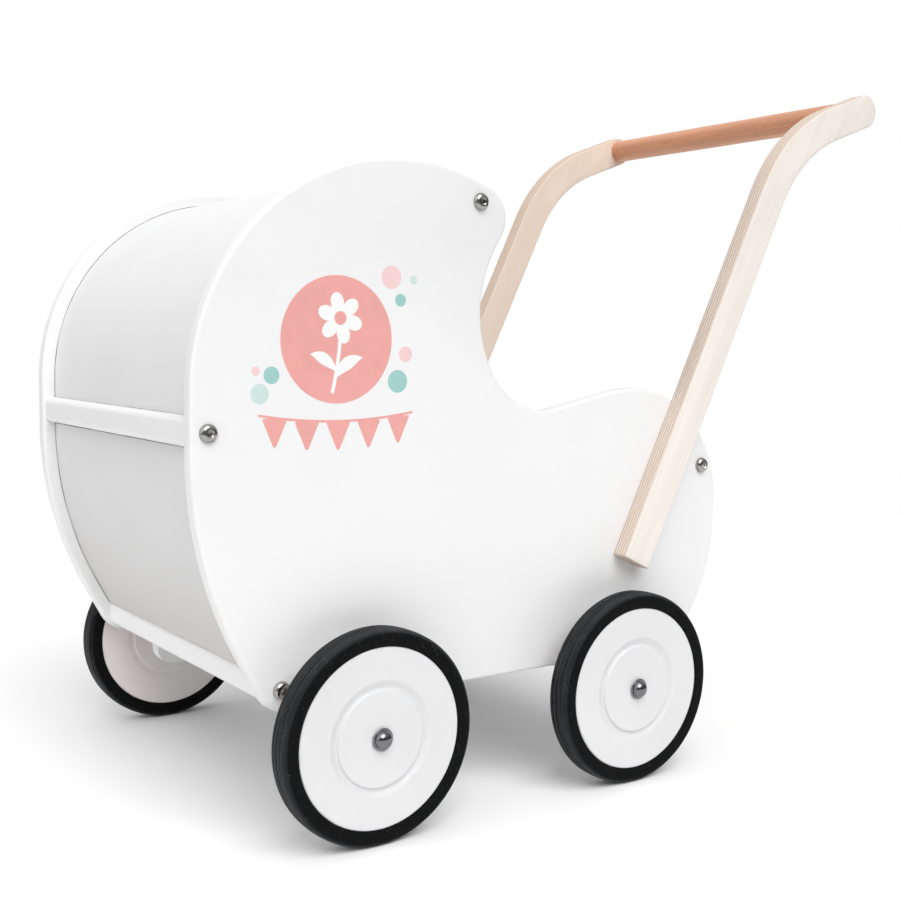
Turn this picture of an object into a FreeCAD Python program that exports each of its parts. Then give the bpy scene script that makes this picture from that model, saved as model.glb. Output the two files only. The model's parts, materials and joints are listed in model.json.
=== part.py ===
import FreeCAD, Part
import math
import os

from FreeCAD import Vector

# Doll pram: two painted board side panels joined by square rails, curved skins between
# them, a floor, two fixed axles with four free wheels, and a bentwood push handle.
# Axes: +X forward (hood end), +Y to the pram's left, +Z up.  Millimetres.
# While modelling, X = 0 is midway between the axles; every piece is then moved along X
# so that the finished pram is centred on the origin, which lies on the ground.

# ---------------------------------------------------------------- driving dimensions
# Wheels and axles
wheel_radius = 75.0
wheelbase = 235.0
tyre_width = 20.0
tyre_depth = 12.0          # from the rim to the tread
tyre_shoulder = 4.0        # rounding of the tread's two corners
tyre_key_width = 7.0       # bead that sits between the two rim flanges
tyre_key_depth = 4.0
tread_groove_count = 3
tread_groove_width = 1.2
tread_groove_depth = 1.0
tread_groove_pitch = 4.2
disc_thickness = 1.5
disc_recess = 0.7          # rim face lies this far inside the tyre's side
disc_flange_gap = 0.5      # from a rim flange to the tyre bead
disc_groove_inner = 33.5   # pressed ring in the wheel disc
disc_groove_outer = 40.5
disc_groove_depth = 2.0
hub_radius = 9.0
hub_neck_radius = 7.0
hub_stand_out = 0.5        # hub end beyond the disc face
axle_radius = 4.0
spacer_radius = 6.5
cap_flange_radius = 8.0
cap_flange_thickness = 1.2
cap_dome_radius = 6.6
cap_dome_height = 5.0
cap_grip = 4.0             # how far the axle goes into its cap

# Side panels
body_width = 306.0         # over the outer faces of the side panels
panel_thickness = 12.0
panel_edge_round = 2.5
panel_above_axle = 17.5    # from the axle's centre up to the panel's bottom edge
front_reach = 239.0        # panel front, ahead of the middle of the wheelbase
rear_reach = 235.5         # panel rear, behind the middle of the wheelbase
body_height = 212.0        # from the bottom edge to the crest at the rear
hood_rise = 163.0          # from that crest to the top of the hood
toe_setback = 56.5         # bottom front corner behind the panel front
toe_rise = 103.5           # where the raking front meets the upright front
heel_setback = 43.0        # the same two sizes at the rear
heel_rise = 58.5
hood_back = 41.0           # where the hood's top starts to fall, ahead of the middle
nose_x = -18.5             # sharp corner of the hood's nose
nose_drop = 24.5           # that corner below the hood's top
neck_x = 26.0              # front of the notch behind the hood
neck_drop = 100.5          # that corner below the hood's top
sweep_x = -18.0            # low point behind the notch
sweep_drop = 20.5          # that corner below the crest
crest_x = -113.5           # where the rim levels out
crest_lead = 18.5          # rear shoulder corner above the crest
toe_round = 21.5
front_round = 290.0
hood_round = 160.0
hood_back_round = 180.0
nose_round = 22.5
neck_round = 90.0
sweep_round = 56.0
crest_round = 22.0
shoulder_round = 96.0
rear_round = 138.0
heel_round = 25.0

# Rails, skins and floor
rail_size = 20.0
rail_round = 5.0
front_rail_behind = 2.0    # rail centre inside the front skin's outer face
front_rail_height = 190.0  # rail centre above the panel's bottom edge
low_rail_height = 16.0
low_rail_ahead = 2.0       # lower rails' centres, from the toe or heel corner less the skin's inset
rear_rail_behind = 8.0     # rail centre inside the rear skin's outer face
rear_rail_drop = 62.0      # rail centre below the crest
hood_rail_offset = 34.0    # rail centre ahead of the nose corner
skin_thickness = 4.0
skin_inset = 10.0          # skin's outer face inside the panel outline
groove_depth = 4.0
floor_thickness = 6.0
floor_bearing = 3.0        # floor's end past the middle of each lower rail
floor_corner = 4.0

# Axle brackets
bracket_length = 58.0
bracket_thickness = 12.0
bracket_drop = 15.0        # bracket below the axle's centre
bracket_corner = 14.0
bracket_screw_spread = 36.0
bracket_screw_height = 14.0  # above the panel's bottom edge

# Handle
arm_width = 28.0
arm_thickness = 15.0
arm_lean = 26.0            # degrees from upright, leaning back
arm_top_rise = 20.5        # degrees above level
arm_foot_x = 102.0         # foot centre ahead of the panel rear
arm_foot_height = 76.5     # foot centre above the panel's bottom edge
arm_straight = 386.0       # foot to the corner of the bend
arm_top_length = 100.0     # corner of the bend to the centre of the rounded end
arm_bend_radius = 135.0
arm_edge_round = 1.5
arm_wheel_gap = 2.0        # sideways, between an arm and a tyre
dowel_radius = 11.0
dowel_depth = 8.0          # blind bore in each arm
arm_screw_first = 24.0     # along the arm from its foot
arm_screw_pitch = 62.0

# Fasteners
bolt_radius = 3.0
bolt_head_radius = 6.3
bolt_head_height = 3.8
bolt_socket = 4.0          # across flats
bolt_socket_depth = 2.2
bolt_length = 50.0
nut_radius = 5.0
nut_length = 14.0
nut_distance = 30.0        # from the rail's end
screw_radius = 2.0
screw_head_radius = 4.0
screw_head_height = 2.6
screw_socket = 2.5
screw_socket_depth = 1.4
floor_screw_length = 18.0
bracket_screw_length = 20.0
arm_screw_length = 24.0
floor_screw_pitch = 60.0

# Clearances
running_fit = 0.05         # radial, wheels on axles
press_gap = 0.05           # radial, pieces pushed or glued into each other
bolt_gap = 0.3             # radial, bolts in boards
skin_gap = 0.15            # each side of a skin in its groove
end_gap = 0.3              # wheel end play each side, and ends of grooves and bores

# ------------------------------------------------------------------- derived places
half_width = body_width / 2
inner_half = half_width - panel_thickness
panel_bottom = wheel_radius + panel_above_axle
crest_z = panel_bottom + body_height
hood_top = crest_z + hood_rise
front_x = front_reach
rear_x = -rear_reach
toe_x = front_x - toe_setback
heel_x = rear_x + heel_setback
rim_radius = wheel_radius - tyre_depth
wheel_plane = half_width + arm_thickness + arm_wheel_gap + tyre_width / 2
disc_face = tyre_width / 2 - disc_recess
hub_end = disc_face + hub_stand_out
cap_plane = wheel_plane + hub_end + end_gap
axle_half_length = cap_plane + cap_grip
outward = {"left": 1, "right": -1}
axle_x = {"front": wheelbase / 2, "rear": -wheelbase / 2}

# Rails: centre (x, z) and the side towards the inside, where the nut holes open.
front_rail_x = front_x - skin_inset - front_rail_behind
rear_rail_x = rear_x + skin_inset + rear_rail_behind
toe_rail_x = toe_x - skin_inset + low_rail_ahead
heel_rail_x = heel_x + skin_inset - low_rail_ahead
low_rail_z = panel_bottom + low_rail_height
floor_bottom = low_rail_z + rail_size / 2
rails = {
    "hood_rail": (nose_x + hood_rail_offset, hood_top - nose_drop, Vector(0, 0, -1)),
    "front_rail": (front_rail_x, panel_bottom + front_rail_height, Vector(-1, 0, 0)),
    "front_lower_rail": (toe_rail_x, low_rail_z, Vector(-1, 0, 0)),
    "rear_rail": (rear_rail_x, crest_z - rear_rail_drop, Vector(1, 0, 0)),
    "rear_lower_rail": (heel_rail_x, low_rail_z, Vector(1, 0, 0)),
}


# Handle arm centre line in the XZ plane
lean = math.radians(arm_lean)
rise = math.radians(arm_top_rise)
arm_foot = Vector(rear_x + arm_foot_x, 0, panel_bottom + arm_foot_height)
arm_run = Vector(-math.sin(lean), 0, math.cos(lean))
arm_top = Vector(-math.cos(rise), 0, math.sin(rise))
arm_corner = arm_foot + arm_run * arm_straight
grip_centre = arm_corner + arm_top * arm_top_length
handle_end = grip_centre.x - arm_width / 2
middle_x = (front_x + handle_end) / 2


# ------------------------------------------------------------------ shape helpers
def rounded_wire(corners):
    """Closed wire in the XZ plane through (x, z, radius) corners, each rounded with an
    arc that meets both sides smoothly.  Where two roundings would overlap on a side,
    both are reduced in the same ratio."""
    count = len(corners)
    points = [Vector(x, 0, z) for x, z, _ in corners]
    reach = []
    halves = []
    for i, (_, _, radius) in enumerate(corners):
        back = (points[i - 1] - points[i]).normalize()
        ahead = (points[(i + 1) % count] - points[i]).normalize()
        half = back.getAngle(ahead) / 2
        halves.append(half)
        reach.append(radius / math.tan(half))
    limit = [1.0] * count
    for i in range(count):
        j = (i + 1) % count
        side = points[i].distanceToPoint(points[j])
        share = side * 0.998 / (reach[i] + reach[j])
        limit[i] = min(limit[i], share)
        limit[j] = min(limit[j], share)
    arcs = []
    for i in range(count):
        back = (points[i - 1] - points[i]).normalize()
        ahead = (points[(i + 1) % count] - points[i]).normalize()
        length = reach[i] * limit[i]
        radius = length * math.tan(halves[i])
        inside = (back + ahead).normalize()
        middle = points[i] + inside * (radius / math.sin(halves[i]) - radius)
        arcs.append((points[i] + back * length, middle, points[i] + ahead * length))
    edges = []
    for i in range(count):
        edges.append(Part.Arc(*arcs[i]).toShape())
        edges.append(Part.makeLine(arcs[i][2], arcs[(i + 1) % count][0]))
    return Part.Wire(edges)


def plate(face, y_from, y_to):
    """Prism of a face in the XZ plane between two Y positions."""
    solid = face.extrude(Vector(0, y_to - y_from, 0))
    solid.translate(Vector(0, y_from, 0))
    return solid


def rod(centre, direction, radius, length):
    """Cylinder from a centre point along a direction."""
    return Part.makeCylinder(radius, length, centre, direction)


def turned(profile, place):
    """Solid of revolution about the Y direction through a place.  The profile is a
    closed list of (radius, y) points."""
    points = [Vector(r, y, 0) for r, y in profile]
    wire = Part.makePolygon(points + [points[0]])
    solid = Part.Face(wire).revolve(Vector(0, 0, 0), Vector(0, 1, 0), 360)
    solid.translate(place)
    return solid


def hexagon(centre, direction, across, depth):
    """Hexagonal prism from a centre point along the +Y, -Y or Z direction."""
    corner = across / math.sqrt(3)
    points = [Vector(corner * math.cos(math.radians(60 * k)), corner * math.sin(math.radians(60 * k)), 0)
              for k in range(7)]
    prism = Part.Face(Part.makePolygon(points)).extrude(Vector(0, 0, depth))
    turn = FreeCAD.Rotation(Vector(0, 0, 1), direction)
    prism.Placement = FreeCAD.Placement(centre, turn)
    return prism


def dome(centre, direction, radius, height):
    """Spherical cap standing on a flat base."""
    ball = (radius ** 2 + height ** 2) / (2 * height)
    angle = math.asin(radius / ball) / 2
    middle = Vector(ball * math.sin(angle), 0, height - ball + ball * math.cos(angle))
    foot, rim, top = Vector(0, 0, 0), Vector(radius, 0, 0), Vector(0, 0, height)
    section = Part.Wire([Part.makeLine(foot, rim), Part.Arc(rim, middle, top).toShape(),
                         Part.makeLine(top, foot)])
    cap = Part.Face(section).revolve(foot, Vector(0, 0, 1), 360)
    cap.Placement = FreeCAD.Placement(centre, FreeCAD.Rotation(Vector(0, 0, 1), direction))
    return cap


def save(name, shape):
    """Write one sub-part, moved so that the pram is centred on the origin."""
    moved = shape.copy()
    moved.translate(Vector(-middle_x, 0, 0))
    moved.exportStep("parts/" + name + ".step")


# ------------------------------------------------------------------- panel outline
def panel_face():
    """Side panel's outline: bottom, raking toe, upright front, hood, nose, notch,
    low rim, crest, rounded rear and heel, going round from the bottom front."""
    return Part.Face(rounded_wire([
        (toe_x, panel_bottom, toe_round),
        (front_x, panel_bottom + toe_rise, front_round),
        (front_x, hood_top, hood_round),
        (hood_back, hood_top, hood_back_round),
        (nose_x, hood_top - nose_drop, nose_round),
        (neck_x, hood_top - neck_drop, neck_round),
        (sweep_x, crest_z - sweep_drop, sweep_round),
        (crest_x, crest_z, crest_round),
        (rear_x, crest_z + crest_lead, shoulder_round),
        (rear_x, panel_bottom + heel_rise, rear_round),
        (heel_x, panel_bottom, heel_round),
    ]))


def skin_zones():
    """The stretch of each skin as a region of the XZ plane, from rail face to rail face.
    The hood's region ends on a slant that leaves out the notch behind the hood."""
    far = 2 * (front_reach + rear_reach)
    half = rail_size / 2
    hood_x, hood_z, _ = rails["hood_rail"]
    _, front_z, _ = rails["front_rail"]
    _, low_z, _ = rails["front_lower_rail"]
    _, rear_z, _ = rails["rear_rail"]
    regions = {
        "hood_skin": [(hood_x + half, far), (hood_x + half, hood_z - rail_size),
                      (front_rail_x - rail_size, front_z + half), (far, front_z + half), (far, far)],
        "front_skin": [(0, low_z + half), (far, low_z + half), (far, front_z - half), (0, front_z - half)],
        "rear_skin": [(-far, low_z + half), (0, low_z + half), (0, rear_z - half), (-far, rear_z - half)],
    }
    zones = {}
    for name, region in regions.items():
        corners = [Vector(x, 0, z) for x, z in region]
        zones[name] = Part.Face(Part.makePolygon(corners + [corners[0]]))
    return zones


def skin_band(outline, zone, gap):
    """Section of a skin, or with a gap of the groove that it sits in."""
    outer = outline.makeOffset2D(-(skin_inset - gap))
    inner = outline.makeOffset2D(-(skin_inset + skin_thickness + gap))
    return outer.cut(inner).common(zone)


# ------------------------------------------------------------------------ fasteners
def wood_screw(place, direction, length, gap=0.0):
    """Countersunk screw whose flat head lies at a place and which points along a
    direction.  With a gap it is the matching hole, without a driver socket."""
    body = rod(place, direction, screw_radius + gap, length + gap)
    head = Part.makeCone(screw_head_radius + gap, screw_radius + gap, screw_head_height, place, direction)
    screw = body.fuse(head)
    if gap:
        return screw
    return screw.cut(hexagon(place, direction, screw_socket, screw_socket_depth))


def floor_screw_spots():
    """Head places of the screws that hold the floor down on the two lower rails."""
    spots = []
    for rail in ("front_lower_rail", "rear_lower_rail"):
        x, _, _ = rails[rail]
        for step in (-1, 0, 1):
            place = Vector(x, step * floor_screw_pitch, floor_bottom + floor_thickness)
            spots.append((place, Vector(0, 0, -1), floor_screw_length))
    return spots


def bracket_screw_spots(side):
    """Head places of the screws through the two axle brackets into one side panel."""
    out = Vector(0, outward[side], 0)
    y = outward[side] * (inner_half - bracket_thickness)
    z = panel_bottom + bracket_screw_height
    return [(Vector(x + step * bracket_screw_spread / 2, y, z), out, bracket_screw_length)
            for x in axle_x.values() for step in (-1, 1)]


def arm_screw_spots(side):
    """Head places of the screws from inside a side panel into its handle arm."""
    out = Vector(0, outward[side], 0)
    spots = []
    for number in range(2):
        centre = arm_foot + arm_run * (arm_screw_first + number * arm_screw_pitch)
        spots.append((Vector(centre.x, outward[side] * inner_half, centre.z), out, arm_screw_length))
    return spots


def drill_screws(shape, spots):
    """Cut the holes of the screws that pass through a piece."""
    for place, direction, length in spots:
        shape = shape.cut(wood_screw(place, direction, length, press_gap))
    return shape


def frame_bolt(x, z, side):
    """Button-head bolt through a side panel into the end of a rail."""
    out = Vector(0, outward[side], 0)
    seat = Vector(x, outward[side] * half_width, z)
    shank = rod(seat, -out, bolt_radius, bolt_length)
    head = dome(seat, out, bolt_head_radius, bolt_head_height)
    socket = hexagon(seat + out * bolt_head_height, -out, bolt_socket, bolt_socket_depth)
    return head.fuse(shank).cut(socket)


def barrel_nut(x, z, side, inside):
    """Cross dowel in a rail, with the cross hole for the bolt."""
    out = Vector(0, outward[side], 0)
    centre = Vector(x, outward[side] * (inner_half - nut_distance), z)
    barrel = rod(centre - inside * (nut_length / 2), inside, nut_radius, nut_length)
    return barrel.cut(rod(centre - out * nut_radius, out, bolt_radius + press_gap, 2 * nut_radius))


# ----------------------------------------------------------------------- body pieces
def side_panel(side, outline, bands):
    """Board side with rounded edges, bolt and screw holes and the skins' grooves."""
    out = outward[side]
    y_inner = out * inner_half
    panel = plate(outline, y_inner, out * half_width)
    rim = [edge for edge in panel.Edges if abs(edge.CenterOfMass.y - y_inner) < 0.01
           or abs(edge.CenterOfMass.y - out * half_width) < 0.01]
    panel = panel.makeFillet(panel_edge_round, rim)
    for band in bands.values():
        panel = panel.cut(plate(band, y_inner, y_inner + out * groove_depth))
    for x, z, _ in rails.values():
        start = Vector(x, y_inner, z)
        panel = panel.cut(rod(start, Vector(0, out, 0), bolt_radius + bolt_gap, panel_thickness))
    panel = drill_screws(panel, arm_screw_spots(side))
    return drill_screws(panel, bracket_screw_spots(side))


def rail(x, z, inside):
    """Square rail with rounded edges, drilled at both ends for a bolt and its nut."""
    half = rail_size / 2
    bar = plate(Part.Face(rounded_wire([
        (x - half, z - half, rail_round),
        (x + half, z - half, rail_round),
        (x + half, z + half, rail_round),
        (x - half, z + half, rail_round),
    ])), -inner_half, inner_half)
    for out in outward.values():
        end = Vector(x, out * inner_half, z)
        bore = bolt_length - panel_thickness + end_gap
        bar = bar.cut(rod(end, Vector(0, -out, 0), bolt_radius + bolt_gap, bore))
        centre = Vector(x, out * (inner_half - nut_distance), z)
        start = centre - inside * (nut_length / 2)
        bar = bar.cut(rod(start, inside, nut_radius + press_gap, rail_size))
    return drill_screws(bar, floor_screw_spots())


def skin(band):
    """Curved skin whose two edges sit in the side panels' grooves."""
    reach = inner_half + groove_depth - end_gap
    return plate(band, -reach, reach)


def floor_panel():
    """Flat floor between the side panels, lying on the lower rails and brackets."""
    front = rails["front_lower_rail"][0] + floor_bearing
    rear = rails["rear_lower_rail"][0] - floor_bearing
    half = inner_half - end_gap
    board = Part.makeBox(front - rear, 2 * half, floor_thickness, Vector(rear, -half, floor_bottom))
    upright = [edge for edge in board.Edges if abs(edge.tangentAt(edge.FirstParameter).z) > 0.9]
    board = board.makeFillet(floor_corner, upright)
    return drill_screws(board, floor_screw_spots())


def axle_bracket(end, side):
    """Board plate inside a side panel that carries one end of an axle."""
    x = axle_x[end]
    out = outward[side]
    half = bracket_length / 2
    low = wheel_radius - bracket_drop
    small = floor_corner / 2
    outline = Part.Face(rounded_wire([
        (x - half, low, bracket_corner),
        (x + half, low, bracket_corner),
        (x + half, floor_bottom, small),
        (x - half, floor_bottom, small),
    ]))
    bracket = plate(outline, out * (inner_half - bracket_thickness), out * inner_half)
    start = Vector(x, out * (inner_half - bracket_thickness), wheel_radius)
    bracket = bracket.cut(rod(start, Vector(0, out, 0), axle_radius + press_gap, bracket_thickness))
    return drill_screws(bracket, bracket_screw_spots(side))


# --------------------------------------------------------------------------- handle
def arm_face():
    """Flat shape of a handle arm: square foot, straight run, bend and round end."""
    half = arm_width / 2
    turn = arm_run.getAngle(arm_top)
    length = arm_bend_radius * math.tan(turn / 2)
    bend_start = arm_corner - arm_run * length
    bend_end = arm_corner + arm_top * length
    side_run = Vector(arm_run.z, 0, -arm_run.x)
    side_top = Vector(arm_top.z, 0, -arm_top.x)
    bend_centre = bend_start - side_run * arm_bend_radius
    towards = (arm_corner - bend_centre).normalize()
    upper = arm_bend_radius + half
    lower = arm_bend_radius - half
    edges = [
        Part.makeLine(arm_foot - side_run * half, arm_foot + side_run * half),
        Part.makeLine(arm_foot + side_run * half, bend_start + side_run * half),
        Part.Arc(bend_start + side_run * half, bend_centre + towards * upper,
                 bend_end + side_top * half).toShape(),
        Part.makeLine(bend_end + side_top * half, grip_centre + side_top * half),
        Part.Arc(grip_centre + side_top * half, grip_centre + arm_top * half,
                 grip_centre - side_top * half).toShape(),
        Part.makeLine(grip_centre - side_top * half, bend_end - side_top * half),
        Part.Arc(bend_end - side_top * half, bend_centre + towards * lower,
                 bend_start - side_run * half).toShape(),
        Part.makeLine(bend_start - side_run * half, arm_foot - side_run * half),
    ]
    return Part.Face(Part.Wire(edges))


def handle_arm(side):
    """Plywood arm on the outside of a side panel, with a blind bore for the dowel."""
    out = outward[side]
    arm = plate(arm_face(), out * half_width, out * (half_width + arm_thickness))
    rim = [edge for edge in arm.Edges
           if abs(abs(edge.CenterOfMass.y) - half_width - arm_thickness) < 0.01]
    arm = arm.makeFillet(arm_edge_round, rim)
    mouth = Vector(grip_centre.x, out * half_width, grip_centre.z)
    arm = arm.cut(rod(mouth, Vector(0, out, 0), dowel_radius + press_gap, dowel_depth))
    return drill_screws(arm, arm_screw_spots(side))


def handle_dowel():
    """Round grip between the two arms, glued into their bores."""
    half = half_width + dowel_depth - end_gap
    return rod(Vector(grip_centre.x, -half, grip_centre.z), Vector(0, 1, 0), dowel_radius, 2 * half)


# --------------------------------------------------------------------------- wheels
def axle(end):
    """Steel rod held in two brackets; each end carries a spacer, a wheel and a cap."""
    start = Vector(axle_x[end], -axle_half_length, wheel_radius)
    return rod(start, Vector(0, 1, 0), axle_radius, 2 * axle_half_length)


def spacer(end, side):
    """Tube on the axle from the bracket to the wheel hub."""
    out = outward[side]
    start = Vector(axle_x[end], out * inner_half, wheel_radius)
    length = wheel_plane - hub_end - end_gap - inner_half
    tube = rod(start, Vector(0, out, 0), spacer_radius, length)
    return tube.cut(rod(start, Vector(0, out, 0), axle_radius + press_gap, length))


def axle_cap(end, side):
    """Domed push-on cap that keeps a wheel on its axle."""
    out = Vector(0, outward[side], 0)
    base = Vector(axle_x[end], outward[side] * cap_plane, wheel_radius)
    flange = rod(base, out, cap_flange_radius, cap_flange_thickness)
    bulge = dome(base + out * cap_flange_thickness, out, cap_dome_radius, cap_dome_height)
    return flange.fuse(bulge).cut(rod(base, out, axle_radius + press_gap, cap_grip))


def wheel_disc(place, face_side):
    """Pressed steel disc: hub hole, flat, pressed ring groove, flat and rim flange."""
    face = disc_face
    back = face - disc_thickness
    dip = disc_groove_depth
    bevel = disc_groove_depth / 2
    hole = hub_neck_radius + press_gap
    flange_end = tyre_key_width / 2 + disc_flange_gap
    outer_line = [(hole, face), (disc_groove_inner, face), (disc_groove_inner + bevel, face - dip),
                  (disc_groove_outer - bevel, face - dip), (disc_groove_outer, face),
                  (rim_radius - disc_thickness, face), (rim_radius, back), (rim_radius, flange_end)]
    inner_line = [(rim_radius - disc_thickness, flange_end), (rim_radius - disc_thickness, back),
                  (disc_groove_outer + bevel, back), (disc_groove_outer, back - dip),
                  (disc_groove_inner, back - dip), (disc_groove_inner - bevel, back), (hole, back)]
    profile = [(r, face_side * y) for r, y in outer_line + inner_line]
    return turned(profile, place)


def wheel_hub(place):
    """Bush with a running bore, a barrel between the discs and a neck in each disc."""
    shoulder = disc_face - disc_thickness
    bore = axle_radius + running_fit
    return turned([(bore, -hub_end), (hub_neck_radius, -hub_end), (hub_neck_radius, -shoulder),
                   (hub_radius, -shoulder), (hub_radius, shoulder), (hub_neck_radius, shoulder),
                   (hub_neck_radius, hub_end), (bore, hub_end)], place)


def tyre(place):
    """Solid rubber tyre with a bead inside, rounded shoulders and tread grooves."""
    half = tyre_width / 2
    key = tyre_key_width / 2
    seat = rim_radius + press_gap
    ring = turned([(seat, -half), (wheel_radius, -half), (wheel_radius, half), (seat, half),
                   (seat, key), (seat - tyre_key_depth, key), (seat - tyre_key_depth, -key),
                   (seat, -key)], place)
    shoulders = [edge for edge in ring.Edges
                 if edge.BoundBox.ZLength > 2 * wheel_radius - 0.1]
    ring = ring.makeFillet(tyre_shoulder, shoulders)
    low = wheel_radius - tread_groove_depth
    high = wheel_radius + tread_groove_depth
    for step in range(tread_groove_count):
        y = (step - (tread_groove_count - 1) / 2) * tread_groove_pitch
        near = y - tread_groove_width / 2
        far = y + tread_groove_width / 2
        ring = ring.cut(turned([(low, near), (high, near), (high, far), (low, far)], place))
    return ring


# ---------------------------------------------------------------------------- build
def build():
    """Make every sub-part and write it to parts/."""
    os.makedirs("parts", exist_ok=True)
    outline = panel_face()
    zones = skin_zones()
    grooves = {name: skin_band(outline, zone, skin_gap) for name, zone in zones.items()}
    for side in outward:
        save("side_panel_" + side, side_panel(side, outline, grooves))
        save("handle_arm_" + side, handle_arm(side))
    for name, zone in zones.items():
        save(name, skin(skin_band(outline, zone, 0.0)))
    for name, (x, z, inside) in rails.items():
        save(name, rail(x, z, inside))
    save("floor_panel", floor_panel())
    save("handle_dowel", handle_dowel())
    for end in axle_x:
        save("axle_" + end, axle(end))
        for side in outward:
            save("axle_bracket_" + end + "_" + side, axle_bracket(end, side))

    corners = [(end, side) for end in axle_x for side in outward]
    save("axle_spacers", Part.makeCompound([spacer(end, side) for end, side in corners]))
    save("axle_caps", Part.makeCompound([axle_cap(end, side) for end, side in corners]))
    joints = [(x, z, side, inside) for x, z, inside in rails.values() for side in outward]
    save("frame_bolts", Part.makeCompound([frame_bolt(x, z, side) for x, z, side, _ in joints]))
    save("barrel_nuts", Part.makeCompound([barrel_nut(*joint) for joint in joints]))
    floor_spots = floor_screw_spots()
    bracket_spots = bracket_screw_spots("left") + bracket_screw_spots("right")
    arm_spots = arm_screw_spots("left") + arm_screw_spots("right")
    save("floor_screws", Part.makeCompound([wood_screw(*spot) for spot in floor_spots]))
    save("bracket_screws", Part.makeCompound([wood_screw(*spot) for spot in bracket_spots]))
    save("arm_screws", Part.makeCompound([wood_screw(*spot) for spot in arm_spots]))

    for end, side in corners:
        place = Vector(axle_x[end], outward[side] * wheel_plane, wheel_radius)
        wheel = "wheel_" + end + "_" + side
        save(wheel + "_outer_disc", wheel_disc(place, outward[side]))
        save(wheel + "_inner_disc", wheel_disc(place, -outward[side]))
        save(wheel + "_hub", wheel_hub(place))
        save(wheel + "_tyre", tyre(place))


build()
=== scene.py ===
import json
import math

import bpy
import numpy as np
from bpy.props import FloatProperty, FloatVectorProperty, IntProperty, PointerProperty
from mathutils import Matrix, Vector


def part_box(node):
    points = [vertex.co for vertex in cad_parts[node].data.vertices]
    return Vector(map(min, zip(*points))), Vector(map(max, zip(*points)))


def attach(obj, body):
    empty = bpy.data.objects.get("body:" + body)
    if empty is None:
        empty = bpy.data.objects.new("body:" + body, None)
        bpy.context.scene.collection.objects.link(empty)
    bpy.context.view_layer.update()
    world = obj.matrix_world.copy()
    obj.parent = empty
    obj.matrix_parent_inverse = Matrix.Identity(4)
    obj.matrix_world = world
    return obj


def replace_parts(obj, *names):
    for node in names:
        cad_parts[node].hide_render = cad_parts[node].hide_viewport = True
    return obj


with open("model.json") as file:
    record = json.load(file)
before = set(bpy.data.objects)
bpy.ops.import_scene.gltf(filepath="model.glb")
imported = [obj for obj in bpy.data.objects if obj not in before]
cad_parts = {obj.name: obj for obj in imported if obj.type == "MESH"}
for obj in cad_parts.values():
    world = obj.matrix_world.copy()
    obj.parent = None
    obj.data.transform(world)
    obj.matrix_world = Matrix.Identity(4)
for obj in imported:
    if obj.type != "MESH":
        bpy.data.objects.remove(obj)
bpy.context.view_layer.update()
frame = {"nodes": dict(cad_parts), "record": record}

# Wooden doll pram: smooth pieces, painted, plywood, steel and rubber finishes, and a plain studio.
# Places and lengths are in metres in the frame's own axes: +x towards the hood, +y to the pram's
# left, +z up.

bl_info = {
    "name": "Doll pram",
    "version": (1, 0, 0),
    "blender": (4, 5, 0),
    "location": "3D View > Sidebar > Doll Pram",
    "description": "Gives the packed frame of a wooden doll pram its finished surfaces",
    "category": "Add Mesh",
}

MM = 0.001
SIDES = {"left": 1, "right": -1}
WHEELS = ("front_left", "front_right", "rear_left", "rear_right")
RAILS = ("hood_rail", "front_rail", "front_lower_rail", "rear_rail", "rear_lower_rail")


# ------------------------------------------------------------------ places on the frame
def middle(node):
    """Centre of a frame part's box."""
    low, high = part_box(node)
    return (low + high) / 2


axle_front = middle("axle_front")
axle_rear = middle("axle_rear")
mid_x = (axle_front.x + axle_rear.x) / 2
axle_z = axle_front.z
panel_low, panel_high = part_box("side_panel_left")
inner_y, outer_y = panel_low.y, panel_high.y
arm_low, arm_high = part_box("handle_arm_left")


# ------------------------------------------------------------------------- the settings
def length(name, description, default, low=0.0, high=1.0):
    """A property that holds a length in metres."""
    return FloatProperty(name=name, description=description, default=default, min=low, max=high,
                         subtype="DISTANCE", unit="LENGTH")


def colour(name, description, default):
    """A property that holds a linear colour."""
    return FloatVectorProperty(name=name, description=description, default=default, size=3,
                               min=0.0, max=1.0, subtype="COLOR")


def tilt(name, description, degrees):
    """A property that holds an angle, given in degrees."""
    return FloatProperty(name=name, description=description, default=math.radians(degrees),
                         subtype="ANGLE", unit="ROTATION")


def strength(name, description, default):
    """A property that holds a light's strength."""
    return FloatProperty(name=name, description=description, default=default, min=0.0, max=20.0)


class BoardSettings(bpy.types.PropertyGroup):
    edge_round: length("Edge rounding", "Radius on the edges of the side panels", 2.5 * MM)
    skin_inset: length("Skin inset", "From the panel's edge to a skin's outer face", 10 * MM)
    skin_thickness: length("Skin thickness", "Thickness of the curved skins", 4 * MM)
    rail_round: length("Rail rounding", "Radius on the long edges of the rails", 5 * MM)
    # Painted shadow: width of the dark strip that stands for the shaded gap where a skin meets a panel.
    seam_shadow_width: length("Seam width", "Width of the fine gap where a skin meets a panel", 0.55 * MM)
    paint: colour("Paint", "Satin white of the side panels and rails", (0.83, 0.83, 0.832))
    skin_paint: colour("Skin paint", "Satin white of the hood's skin", (0.775, 0.775, 0.778))
    # Painted shade: the lower skins get a darker copy of the skin paint in place of the shade that falls
    # on them.
    shaded_lower_skin_paint: colour("Lower skin paint", "Duller white of the lower skins",
                             (0.715, 0.712, 0.715))
    # Painted shade: the height below which the lower skins' paint is darkened, more so towards the floor.
    shade_line: length("Dust line", "Height below which road dust dulls the lower skins", 275 * MM)


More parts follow.
